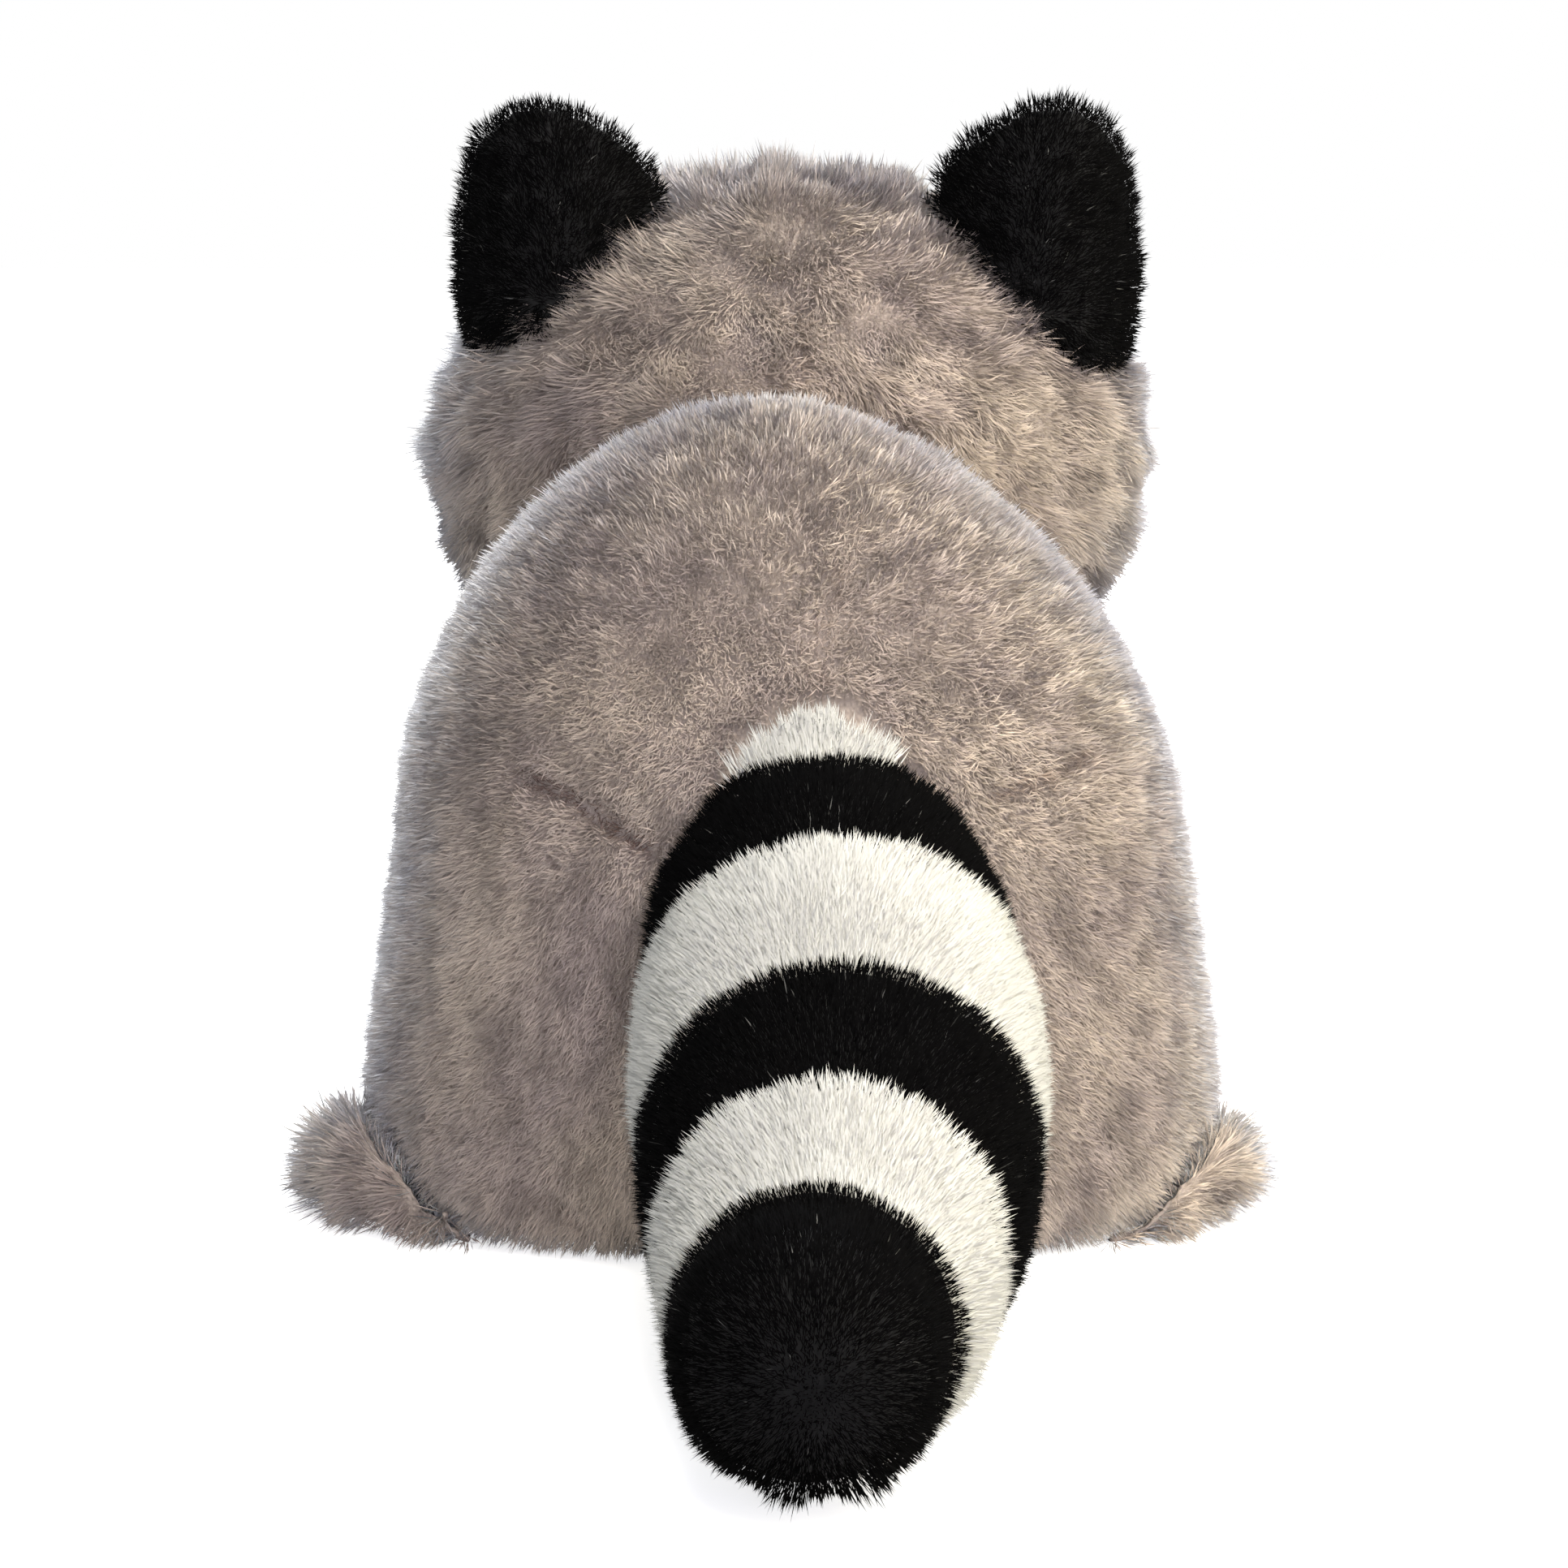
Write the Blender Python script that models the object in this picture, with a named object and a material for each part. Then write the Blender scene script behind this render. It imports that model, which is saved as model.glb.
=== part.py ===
# A stuffed plush raccoon that lies on its belly, with a ringed tail. Metres, +Z up.
# The raccoon faces -Y and its tail points to +Y. The origin is on the floor, under the middle of the belly.
import math

import bmesh
import bpy
from mathutils import Matrix, Vector

# Driving dimensions: the body
BODY_HEIGHT = 0.1575
WAIST_HEIGHT = 0.076
WAIST_WIDTH = 0.1555
HIP_FLARE_SHARE = 0.165
BODY_LEAN = 0.0055
RUMP_REACH = 0.075
CHEST_REACH = 0.102
BELLY_SINK = 0.006
BACK_ROUNDNESS = 1.75
BELLY_SQUARENESS = 7.0
RUMP_PLAN = 3.2
CHEST_PLAN = 2.4
SEAM_GAP = 0.0003

# Driving dimensions: the head and what is sewn to it
HEAD_WIDTH = 0.1705
HEAD_HEIGHT = 0.138
HEAD_LENGTH = 0.134
HEAD_SET_FORWARD = 0.093
HEAD_CENTRE_HEIGHT = 0.1365
HEAD_ROUNDNESS = 2.15
CHEEK_FULLNESS = 0.005
CHEEK_RISE_SHARE = 0.12
CHEEK_SPAN_SHARE = 0.38
EAR_WIDTH = 0.0532
EAR_TOP = 0.0348
EAR_ROOT = 0.0375
EAR_LEAN_SHARE = 0.10
EAR_ROUNDNESS = 2.2
EAR_THICKNESS = 0.010
EAR_CUP = 0.019
EAR_YAW = math.radians(10)
EAR_SIDE_INSET = 0.03015
EAR_TOP_INSET = 0.0212
EAR_DRIFT = -0.0015
EAR_SET_BACK = 0.0365
LINING_MARGIN = 0.0065
LINING_THICKNESS = 0.0020
MUZZLE_WIDTH = 0.060
MUZZLE_HEIGHT = 0.046
MUZZLE_LENGTH = 0.052
MUZZLE_DROP = 0.021
MUZZLE_CENTRE_SHARE = 0.86
MUZZLE_ROUNDNESS = 2.1
NOSE_WIDTH = 0.021
NOSE_HEIGHT = 0.014
NOSE_LENGTH = 0.014
NOSE_LIFT = 0.008
EYE_DIAMETER = 0.014
EYE_DEPTH_SHARE = 0.8
EYE_SPACING = 0.062
EYE_RISE = 0.002
APPLIQUE_THICKNESS = 0.0022
MASK_WIDTH = 0.054
MASK_HEIGHT = 0.034
MASK_TILT = math.radians(22)
MASK_SPREAD = 0.038
MASK_DROP = 0.003
BROW_WIDTH = 0.054
BROW_HEIGHT = 0.038
BROW_RAISE = 0.0105
PATCH_BLOCK_FRONT = 0.100
PATCH_BLOCK_DEPTH = 0.090
CLEARANCE_BLOCK_DEPTH = 0.100

# Driving dimensions: the limbs
FOOT_LENGTH = 0.060
FOOT_WIDTH = 0.041
FOOT_HEIGHT = 0.0195
FOOT_REACH = 0.0685
FOOT_DRIFT = 0.0022
FOOT_SET_BACK = 0.038
FOOT_TURN = math.radians(60)
SOLE_DROP_SHARE = 0.38
LUMP_ROUNDNESS = 2.5
ARM_LENGTH = 0.074
ARM_WIDTH = 0.044
ARM_HEIGHT = 0.036
ARM_SPREAD = 0.044
ARM_REACH = 0.107
ARM_TURN = math.radians(12)
PAW_LENGTH = 0.026

# Driving dimensions: the tail, from its root inside the rump to its tip
TAIL_ROOT = (-0.0022, 0.0385, 0.1065)
TAIL_DROOP = (-0.0046, 0.0660, 0.0605)
TAIL_REST = (-0.0138, 0.1013, 0.0412)
TAIL_END = (-0.0026, 0.1571, 0.0228)
TAIL_ROOT_RADIUS = 0.0200
TAIL_FULL_RADIUS = 0.0348
TAIL_TIP_RADIUS = 0.0221
TAIL_FULL_SHARE = 0.627
TAIL_TAPER = 1.52
TAIL_END_ROUNDNESS = 2.3
TAIL_SEAM_LIFT = math.radians(34)
RINGS_AGAINST_RUMP = 3
TAIL_SEAM_SHARES = (0.0, 0.240, 0.453, 0.707, 0.860, 0.970)
TAIL_NAMES = (
    "tail_ring_1_white",
    "tail_ring_2_black",
    "tail_ring_3_white",
    "tail_ring_4_black",
    "tail_ring_5_white",
    "tail_tip_black",
)
RING_PUFF = 0.0010

# Mesh fineness
BODY_FACETS = (38, 24)
HEAD_FACETS = (36, 22)
SMALL_FACETS = (20, 12)
TINY_FACETS = (14, 8)
OUTLINE_POINTS = 20
TAIL_POINTS = 4
TAIL_FACETS = 28

GREY_FUR = (0.42, 0.36, 0.32)
BLACK_FUR = (0.012, 0.012, 0.012)
WHITE_FUR = (0.80, 0.79, 0.74)
BLACK_PLASTIC = (0.010, 0.009, 0.009)


def clear_scene():
    for thing in list(bpy.data.objects):
        bpy.data.objects.remove(thing)


def make_collection(name):
    collection = bpy.data.collections.new(name)
    bpy.context.scene.collection.children.link(collection)
    return collection


def make_material(name, colour, roughness):
    material = bpy.data.materials.new(name)
    material.use_nodes = True
    shader = material.node_tree.nodes["Principled BSDF"]
    shader.inputs["Base Color"].default_value = (*colour, 1.0)
    shader.inputs["Roughness"].default_value = roughness
    shader.inputs["Metallic"].default_value = 0.0
    return material


def add_object(name, bm, material, collection):
    """Makes an object of the bmesh, smooth-shaded, and frees the bmesh."""
    bmesh.ops.recalc_face_normals(bm, faces=bm.faces)
    mesh = bpy.data.meshes.new(name)
    bm.to_mesh(mesh)
    bm.free()
    mesh.shade_smooth()
    mesh.set_sharp_from_angle(angle=math.radians(50))
    thing = bpy.data.objects.new(name, mesh)
    collection.objects.link(thing)
    if material is not None:
        mesh.materials.append(material)
    return thing


def hide_helper(thing):
    thing.hide_render = True
    thing.display_type = "WIRE"
    return thing


def ball(facets):
    """A unit sphere with its poles up and down."""
    bm = bmesh.new()
    bmesh.ops.create_uvsphere(bm, u_segments=facets[0], v_segments=facets[1], radius=1.0)
    return bm


def rounded(value, roundness):
    """A unit-sphere coordinate moved onto a squarer or more pointed oval."""
    return math.copysign(abs(value) ** (2 / roundness), value)


def oval_point(direction, roundness, plan=2.0):
    """A point of the unit sphere moved onto a super-ellipsoid, with a roundness in height and one in plan."""
    flat = math.hypot(direction.x, direction.y)
    if flat < 1e-9:
        return Vector((0, 0, math.copysign(1, direction.z)))
    squared = (abs(direction.x / flat) ** plan + abs(direction.y / flat) ** plan) ** (1 / plan)
    grown = rounded(flat, roundness) / flat / squared
    return Vector((direction.x * grown, direction.y * grown, rounded(direction.z, roundness)))


def keep_side(bm, point, normal):
    """Keeps what lies on the normal's side of a plane and closes the cut with a flat face."""
    everything = bm.verts[:] + bm.edges[:] + bm.faces[:]
    cut = bmesh.ops.bisect_plane(bm, geom=everything, plane_co=point, plane_no=normal, clear_inner=True)
    rim = [g for g in cut["geom_cut"] if isinstance(g, bmesh.types.BMEdge)]
    bmesh.ops.edgeloop_fill(bm, edges=rim)


def cut_flat(bm, height):
    keep_side(bm, (0, 0, height), (0, 0, 1))


def grown_copy(source, growth, helpers):
    """A hidden copy of an object whose surface stands proud of it by growth."""
    copy = bpy.data.objects.new(f"{source.name}_grown", source.data)
    helpers.objects.link(copy)
    copy.matrix_world = source.matrix_world
    for modifier in source.modifiers:
        same = copy.modifiers.new(modifier.name, modifier.type)
        same.operation = modifier.operation
        same.object = modifier.object
    displace = copy.modifiers.new("Grow", "DISPLACE")
    displace.mid_level = 0.0
    displace.strength = growth
    return hide_helper(copy)


def combine(thing, other, operation):
    modifier = thing.modifiers.new(f"{operation.title()} {other.name}", "BOOLEAN")
    modifier.operation = operation
    modifier.object = other


def body_form():
    """The body: a gumdrop with a rounded back, full hips and a flat belly."""
    bm = ball(BODY_FACETS)
    for vertex in bm.verts:
        upper = vertex.co.z > 0
        squareness = (RUMP_PLAN if vertex.co.y > 0 else CHEST_PLAN) - 2
        plan = 2 + squareness * (1 - max(0.0, vertex.co.z))
        point = oval_point(vertex.co, BACK_ROUNDNESS if upper else BELLY_SQUARENESS, plan)
        rise = BODY_HEIGHT - WAIST_HEIGHT if upper else WAIST_HEIGHT + BELLY_SINK
        height = WAIST_HEIGHT + point.z * rise
        flare = 1 + HIP_FLARE_SHARE * max(0.0, 1 - height / WAIST_HEIGHT)
        reach = RUMP_REACH if point.y > 0 else CHEST_REACH
        lean = BODY_LEAN * max(0.0, height / WAIST_HEIGHT - 1) / (BODY_HEIGHT / WAIST_HEIGHT - 1)
        vertex.co = (point.x * WAIST_WIDTH / 2 * flare + lean, point.y * reach, height)
    cut_flat(bm, 0.0)
    return bm


def head_centre():
    return Vector((0, -HEAD_SET_FORWARD, HEAD_CENTRE_HEIGHT))


def head_form():
    """The head: a wide, slightly squared ball, fuller at the cheeks."""
    bm = ball(HEAD_FACETS)
    for vertex in bm.verts:
        point = oval_point(vertex.co, HEAD_ROUNDNESS)
        from_cheek = (point.z - CHEEK_RISE_SHARE) / CHEEK_SPAN_SHARE
        cheek = CHEEK_FULLNESS * math.exp(-(from_cheek**2)) * abs(point.x)
        half = HEAD_WIDTH / 2 - CHEEK_FULLNESS + cheek
        offset = Vector((point.x * half, point.y * HEAD_LENGTH / 2, point.z * HEAD_HEIGHT / 2))
        vertex.co = head_centre() + offset
    return bm


def face_depth(across, up):
    """How far the face lies forward of the head's centre, at a place across and up from that centre."""
    side = (abs(across) / (HEAD_WIDTH / 2)) ** HEAD_ROUNDNESS
    rise = (abs(up) / (HEAD_HEIGHT / 2)) ** HEAD_ROUNDNESS
    return HEAD_LENGTH / 2 * max(0.0, 1 - side - rise) ** (1 / HEAD_ROUNDNESS)


def ear_point(point, side, across, thick, top, root):
    """A point of a unit ball moved to the cupped ear on one side of the head."""
    height = point.z * (top if point.z > 0 else root)
    forward = EAR_CUP * point.x * point.x
    narrowing = 1 - (1 - max(0.0, point.z) ** EAR_ROUNDNESS) ** (1 / EAR_ROUNDNESS)
    outward = side * EAR_LEAN_SHARE * narrowing
    local = Vector(((point.x + outward) * across, point.y * thick - forward, height))
    turned = Matrix.Rotation(-side * EAR_YAW, 3, "Z") @ local
    spread = HEAD_WIDTH / 2 - EAR_SIDE_INSET
    seat = head_centre() + Vector((side * spread + EAR_DRIFT, EAR_SET_BACK, HEAD_HEIGHT / 2 - EAR_TOP_INSET))
    return seat + turned


def ear_form(side, margin=0.0, push=0.0):
    """One ear, or with a margin and a push the shape of its lining in front of it."""
    bm = ball(SMALL_FACETS)
    across = EAR_WIDTH / 2 - margin
    top = EAR_TOP - margin
    for vertex in bm.verts:
        point = oval_point(vertex.co, EAR_ROUNDNESS)
        vertex.co = ear_point(point, side, across, EAR_THICKNESS / 2, top, EAR_ROOT) + Vector((0, -push, 0))
    return bm


def lump_form(length, width, height, turn, seat, facets):
    """A stuffed lump with a flat sole, its length along Y before it is turned about the vertical."""
    bm = ball(facets)
    spin = Matrix.Rotation(turn, 3, "Z")
    for vertex in bm.verts:
        point = oval_point(vertex.co, LUMP_ROUNDNESS)
        rise = height * (SOLE_DROP_SHARE + point.z * (1 - SOLE_DROP_SHARE))
        local = Vector((point.x * width / 2, point.y * length / 2, rise))
        vertex.co = spin @ local + Vector(seat)
    cut_flat(bm, 0.0)
    return bm


def oval_block(width, height, tilt, across, up, depth):
    """An oval block that runs from in front of the face back into the head, to cut a patch with."""
    bm = bmesh.new()
    bmesh.ops.create_cone(bm, cap_ends=True, segments=OUTLINE_POINTS, radius1=0.5, radius2=0.5, depth=depth)
    lay_down = Matrix.Rotation(math.pi / 2, 3, "X")
    spin = Matrix.Rotation(tilt, 3, "Y")
    shift = head_centre() + Vector((across, depth / 2 - PATCH_BLOCK_FRONT, up))
    for vertex in bm.verts:
        flat = lay_down @ vertex.co
        flat.x *= width
        flat.z *= height
        vertex.co = spin @ flat + shift
    return bm


def tail_axis(share):
    """A point of the tail's axis, which droops from the root and then lies along the floor."""
    root, droop, rest, end = Vector(TAIL_ROOT), Vector(TAIL_DROOP), Vector(TAIL_REST), Vector(TAIL_END)
    left = 1 - share
    return left**3 * root + 3 * share * left**2 * droop + 3 * share**2 * left * rest + share**3 * end


def tail_heading(share):
    """The way a section of the tail faces: along the axis, and lifted more and more towards the tip."""
    along = (tail_axis(share + 0.01) - tail_axis(share - 0.01)).normalized()
    return Matrix.Rotation(TAIL_SEAM_LIFT * share, 3, "X") @ along


def tail_radius(share):
    """The tail swells to its fullest part and then narrows towards the tip."""
    if share < TAIL_FULL_SHARE:
        rise = math.sin(math.pi / 2 * share / TAIL_FULL_SHARE)
        return TAIL_ROOT_RADIUS + (TAIL_FULL_RADIUS - TAIL_ROOT_RADIUS) * rise
    fall = (share - TAIL_FULL_SHARE) / (1 - TAIL_FULL_SHARE)
    return TAIL_FULL_RADIUS + (TAIL_TIP_RADIUS - TAIL_FULL_RADIUS) * fall**TAIL_TAPER


def tail_sections(number):
    """Centres, headings and radii of the round sections that one piece of the tail is lofted through."""
    start = TAIL_SEAM_SHARES[number]
    last = number == len(TAIL_SEAM_SHARES) - 1
    end = 1.0 if last else TAIL_SEAM_SHARES[number + 1]
    sections = []
    for step in range(TAIL_POINTS + 1):
        part = step / TAIL_POINTS
        share = start + (end - start) * part
        heading = tail_heading(share)
        puff = RING_PUFF * math.sin(math.pi * part)
        centre = tail_axis(share)
        if step == 0 and number > 0:
            centre += heading * SEAM_GAP
        sections.append((centre, heading, tail_radius(share) + puff))
    if last:
        centre, heading, radius = sections[-1]
        for step in range(1, TAIL_POINTS + 1):
            angle = math.pi / 2 * step / (TAIL_POINTS + 0.35)
            forward = heading * radius * rounded(math.sin(angle), TAIL_END_ROUNDNESS)
            narrowed = radius * rounded(math.cos(angle), TAIL_END_ROUNDNESS)
            sections.append((centre + forward, heading, narrowed))
    return sections


def tail_piece(number, material, collection):
    """One ring of the tail, or its tip: a loft through round sections."""
    bm = bmesh.new()
    sections = tail_sections(number)
    rings = []
    for centre, heading, radius in sections:
        turn = heading.to_track_quat("Z", "Y").to_matrix().to_4x4()
        place = Matrix.Translation(centre) @ turn
        made = bmesh.ops.create_circle(bm, segments=TAIL_FACETS, radius=radius, matrix=place)
        rings.append(made["verts"])
    for near, far in zip(rings, rings[1:]):
        for corner in range(TAIL_FACETS):
            following = (corner + 1) % TAIL_FACETS
            bm.faces.new((near[corner], near[following], far[following], far[corner]))
    bm.faces.new(rings[0])
    bm.faces.new(rings[-1])
    return add_object(TAIL_NAMES[number], bm, material, collection)


def build_body(furs, parts, helpers):
    body = add_object("body", body_form(), furs["grey"], parts)
    return body, grown_copy(body, SEAM_GAP, helpers)


def build_head(furs, parts, helpers, body_clear):
    head = add_object("head", head_form(), furs["grey"], parts)
    head_clear = grown_copy(head, SEAM_GAP, helpers)
    combine(head, body_clear, "DIFFERENCE")
    return head, head_clear


def build_ears(furs, parts, helpers, head_clear):
    for word, side in (("left", 1), ("right", -1)):
        ear = add_object(f"ear_{word}", ear_form(side), furs["black"], parts)
        ear_clear = grown_copy(ear, SEAM_GAP, helpers)
        combine(ear, head_clear, "DIFFERENCE")
        lining_form = ear_form(side, LINING_MARGIN, LINING_THICKNESS)
        lining = add_object(f"ear_lining_{word}", lining_form, furs["grey"], parts)
        combine(lining, ear_clear, "DIFFERENCE")
        combine(lining, head_clear, "DIFFERENCE")


def build_muzzle(furs, plastic, parts, helpers, head_clear):
    """The white muzzle and the moulded nose that is set into its front."""
    bm = ball(SMALL_FACETS)
    middle = head_centre() + Vector((0, -MUZZLE_CENTRE_SHARE * face_depth(0, MUZZLE_DROP), -MUZZLE_DROP))
    for vertex in bm.verts:
        point = oval_point(vertex.co, MUZZLE_ROUNDNESS)
        sizes = (MUZZLE_WIDTH / 2, MUZZLE_LENGTH / 2, MUZZLE_HEIGHT / 2)
        vertex.co = middle + Vector(c * size for c, size in zip(point, sizes))
    muzzle = add_object("muzzle", bm, furs["white"], parts)
    muzzle_clear = grown_copy(muzzle, SEAM_GAP, helpers)
    combine(muzzle, head_clear, "DIFFERENCE")

    bm = ball(TINY_FACETS)
    lift = NOSE_LIFT / (MUZZLE_HEIGHT / 2)
    front = middle + Vector((0, -MUZZLE_LENGTH / 2 * math.sqrt(1 - lift * lift), NOSE_LIFT))
    for vertex in bm.verts:
        narrowing = 1 + 0.28 * vertex.co.z
        vertex.co.x *= NOSE_WIDTH / 2 * narrowing
        vertex.co.y *= NOSE_LENGTH / 2
        vertex.co.z *= NOSE_HEIGHT / 2
        vertex.co += front
    nose = add_object("nose", bm, plastic, parts)
    combine(nose, muzzle_clear, "DIFFERENCE")
    return muzzle_clear


def build_applique(name, form, furs_material, parts, helpers, shells, clear_of):
    """A patch of plush sewn flat on the face, cut out of a thin shell round the head by an oval block."""
    outer, inner = shells
    patch = bpy.data.objects.new(name, outer.data.copy())
    patch.data.name = name
    patch.data.materials.clear()
    patch.data.materials.append(furs_material)
    parts.objects.link(patch)
    thicken = patch.modifiers.new("Thicken", "DISPLACE")
    thicken.mid_level = 0.0
    thicken.strength = SEAM_GAP + APPLIQUE_THICKNESS
    cutter = hide_helper(add_object(f"{name}_outline", form, None, helpers))
    combine(patch, cutter, "INTERSECT")
    combine(patch, inner, "DIFFERENCE")
    for other in clear_of:
        combine(patch, other, "DIFFERENCE")
    return patch


def build_face(furs, plastic, parts, helpers, head, head_clear, muzzle_clear):
    """The black mask, the white brows above it, and the plastic eyes."""
    shells = (head, head_clear)
    for word, side in (("left", 1), ("right", -1)):
        mask_place = (side * MASK_TILT, side * MASK_SPREAD, -MASK_DROP)
        mask_block = oval_block(MASK_WIDTH, MASK_HEIGHT, *mask_place, PATCH_BLOCK_DEPTH)
        eye_across = side * EYE_SPACING / 2
        eye_depth = face_depth(eye_across, EYE_RISE) + APPLIQUE_THICKNESS + SEAM_GAP
        eye_place = head_centre() + Vector((eye_across, -eye_depth, EYE_RISE))
        bm = ball(TINY_FACETS)
        for vertex in bm.verts:
            vertex.co.y *= EYE_DEPTH_SHARE
            vertex.co = vertex.co * EYE_DIAMETER / 2 + eye_place
        eye = add_object(f"eye_{word}", bm, plastic, parts)
        eye_clear = grown_copy(eye, SEAM_GAP, helpers)
        combine(eye, head_clear, "DIFFERENCE")
        mask = build_applique(
            f"mask_{word}", mask_block, furs["black"], parts, helpers, shells, (muzzle_clear, eye_clear)
        )
        clear_width, clear_height = MASK_WIDTH + 2 * SEAM_GAP, MASK_HEIGHT + 2 * SEAM_GAP
        mask_form = oval_block(clear_width, clear_height, *mask_place, CLEARANCE_BLOCK_DEPTH)
        mask_clear = hide_helper(add_object(f"mask_{word}_clearance", mask_form, None, helpers))
        brow_across = side * (MASK_SPREAD + BROW_RAISE * math.sin(MASK_TILT))
        brow_up = BROW_RAISE * math.cos(MASK_TILT) - MASK_DROP
        brow_place = (side * MASK_TILT, brow_across, brow_up)
        brow_block = oval_block(BROW_WIDTH, BROW_HEIGHT, *brow_place, PATCH_BLOCK_DEPTH)
        build_applique(
            f"brow_{word}", brow_block, furs["white"], parts, helpers, shells, (muzzle_clear, mask_clear)
        )


def build_limbs(furs, parts, helpers, body_clear):
    """The hind feet at the hips, and the forelegs with their black paws under the chin."""
    for word, side in (("left", 1), ("right", -1)):
        foot_seat = (side * FOOT_REACH + FOOT_DRIFT, FOOT_SET_BACK, 0)
        form = lump_form(FOOT_LENGTH, FOOT_WIDTH, FOOT_HEIGHT, side * FOOT_TURN, foot_seat, SMALL_FACETS)
        foot = add_object(f"hind_foot_{word}", form, furs["grey"], parts)
        combine(foot, body_clear, "DIFFERENCE")

        arm_seat = (side * ARM_SPREAD, -ARM_REACH, 0)
        tip = -ARM_LENGTH / 2 + PAW_LENGTH
        turn = Matrix.Rotation(side * ARM_TURN, 3, "Z")
        plane_point = turn @ Vector((0, tip, 0)) + Vector(arm_seat)
        plane_normal = turn @ Vector((0, 1, 0))
        for name, material, keep, gap in (
            (f"foreleg_{word}", furs["grey"], 1, 0.0),
            (f"front_paw_{word}", furs["black"], -1, SEAM_GAP),
        ):
            bm = lump_form(ARM_LENGTH, ARM_WIDTH, ARM_HEIGHT, side * ARM_TURN, arm_seat, SMALL_FACETS)
            keep_side(bm, plane_point - plane_normal * gap, plane_normal * keep)
            limb = add_object(name, bm, material, parts)
            if keep > 0:
                combine(limb, body_clear, "DIFFERENCE")


def build_tail(furs, parts, body_clear):
    """The rings of the tail, the first ones hollowed where they press against the rump."""
    for number, name in enumerate(TAIL_NAMES):
        fur = furs["white"] if name.endswith("white") else furs["black"]
        piece = tail_piece(number, fur, parts)
        if number < RINGS_AGAINST_RUMP:
            combine(piece, body_clear, "DIFFERENCE")


def main():
    clear_scene()
    parts = make_collection("plush_raccoon")
    helpers = make_collection("helpers")
    furs = {
        "grey": make_material("grey_fur", GREY_FUR, 0.95),
        "black": make_material("black_fur", BLACK_FUR, 0.90),
        "white": make_material("white_fur", WHITE_FUR, 0.95),
    }
    plastic = make_material("black_plastic", BLACK_PLASTIC, 0.12)
    body, body_clear = build_body(furs, parts, helpers)
    head, head_clear = build_head(furs, parts, helpers, body_clear)
    build_ears(furs, parts, helpers, head_clear)
    muzzle_clear = build_muzzle(furs, plastic, parts, helpers, head_clear)
    build_face(furs, plastic, parts, helpers, head, head_clear, muzzle_clear)
    build_limbs(furs, parts, helpers, body_clear)
    build_tail(furs, parts, body_clear)


main()
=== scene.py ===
import math
from dataclasses import dataclass

import bmesh
import bpy
import numpy as np
from mathutils import Euler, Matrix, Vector
from mathutils.bvhtree import BVHTree


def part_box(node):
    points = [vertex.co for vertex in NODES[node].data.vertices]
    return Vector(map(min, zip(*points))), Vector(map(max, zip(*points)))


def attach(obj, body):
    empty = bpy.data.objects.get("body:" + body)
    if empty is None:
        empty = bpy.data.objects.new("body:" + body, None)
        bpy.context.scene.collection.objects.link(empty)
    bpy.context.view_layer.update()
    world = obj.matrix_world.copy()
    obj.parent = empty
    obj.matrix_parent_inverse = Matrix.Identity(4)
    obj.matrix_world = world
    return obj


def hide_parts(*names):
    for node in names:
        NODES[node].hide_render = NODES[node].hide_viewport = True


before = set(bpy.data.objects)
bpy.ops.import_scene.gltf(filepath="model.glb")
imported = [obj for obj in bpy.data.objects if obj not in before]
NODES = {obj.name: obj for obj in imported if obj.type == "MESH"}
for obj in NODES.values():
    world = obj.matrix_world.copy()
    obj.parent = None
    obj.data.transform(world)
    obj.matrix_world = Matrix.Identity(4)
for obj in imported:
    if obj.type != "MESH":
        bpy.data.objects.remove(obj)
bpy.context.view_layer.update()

# The photograph and its camera, behind the raccoon and a little above it
PHOTO_SIZE = 1932
SENSOR_WIDTH = 0.036
CAMERA_LENS = 0.05939
CAMERA_PLACE = Vector((0.0015, 0.528, 0.189))
CAMERA_TURN = Euler((math.radians(78.2), 0.0, math.radians(180)))

# How a skin is meshed, filled, and drawn in along its seams
MERGE_REACH = 1e-5
SMOOTH_ROUNDS = 6
LAST_ROUNDS = 2
SWELL = 0.0008
CLOTH_FRAMES = 20
CLOTH_PRESSURE = 4.0
SEAM_HOLD = 0.0045
HELD_PULL = 0.3
SEAM_DEPTH = 0.0034
SEAM_WIDTH = 0.0045
FLOOR_GAP = 0.0003

# Strands: their shape, how they turn and fade, and how they part at a seam
SHOULDER = 0.62
TWIST = math.radians(38)
WAVES = 20
WIDE_CLUMP = 4
WIDE_CLUMP_PULL = 0.5
FORWARD_FACING = 0.35
LEAST_WIDTH_SHARE = 0.4
WIDENING = 0.7
PER_SQUARE_METRE = 1e6
# GROOVE_WIDTH is how wide a seam's groove is, where strands are cut shorter and given painted shade
GROOVE_WIDTH = 0.0010
GROOVE_TRIM = 0.5
PARTING = 0.9
PARTING_WIDTH = 0.0034
BAKE_CORNERS = ((0.15, 0.15), (0.85, 0.15), (0.15, 0.85))

# Where pile is thinner, because it is hidden or faces away from the photograph
BELLY_NORMAL = -0.8
BELLY_SHARE = 0.22
CHEST_SHARE = 0.30
FACE_SHARE = 0.44
UNDER_TAIL_SHARE = 0.4
UNDER_TAIL_HEIGHT = 0.012
FADE_REACH = 0.030
HIDDEN_DEPTH = 0.0020
PATCH_CLEARANCE = 0.0028
PROBE = Vector((0.31, 0.17, 0.93)).normalized()
PROBE_STEP = 1e-5
MOST_CROSSINGS = 9
TINY = 1e-9

# Which way the pile lies: outwards, back and up
BACK_LAY = (1.1, 0.45, -0.75)
NAPE_LAY = (0.9, 0.2, -0.85)
LEG_LAY = (3.0, -1.0, -0.3)
NAPE_START = 0.3
EAR_FOOT = 0.25
FOOT_DROP = 0.004
TAIL_FAN = 28.0
TAIL_RISE = 0.35

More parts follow.
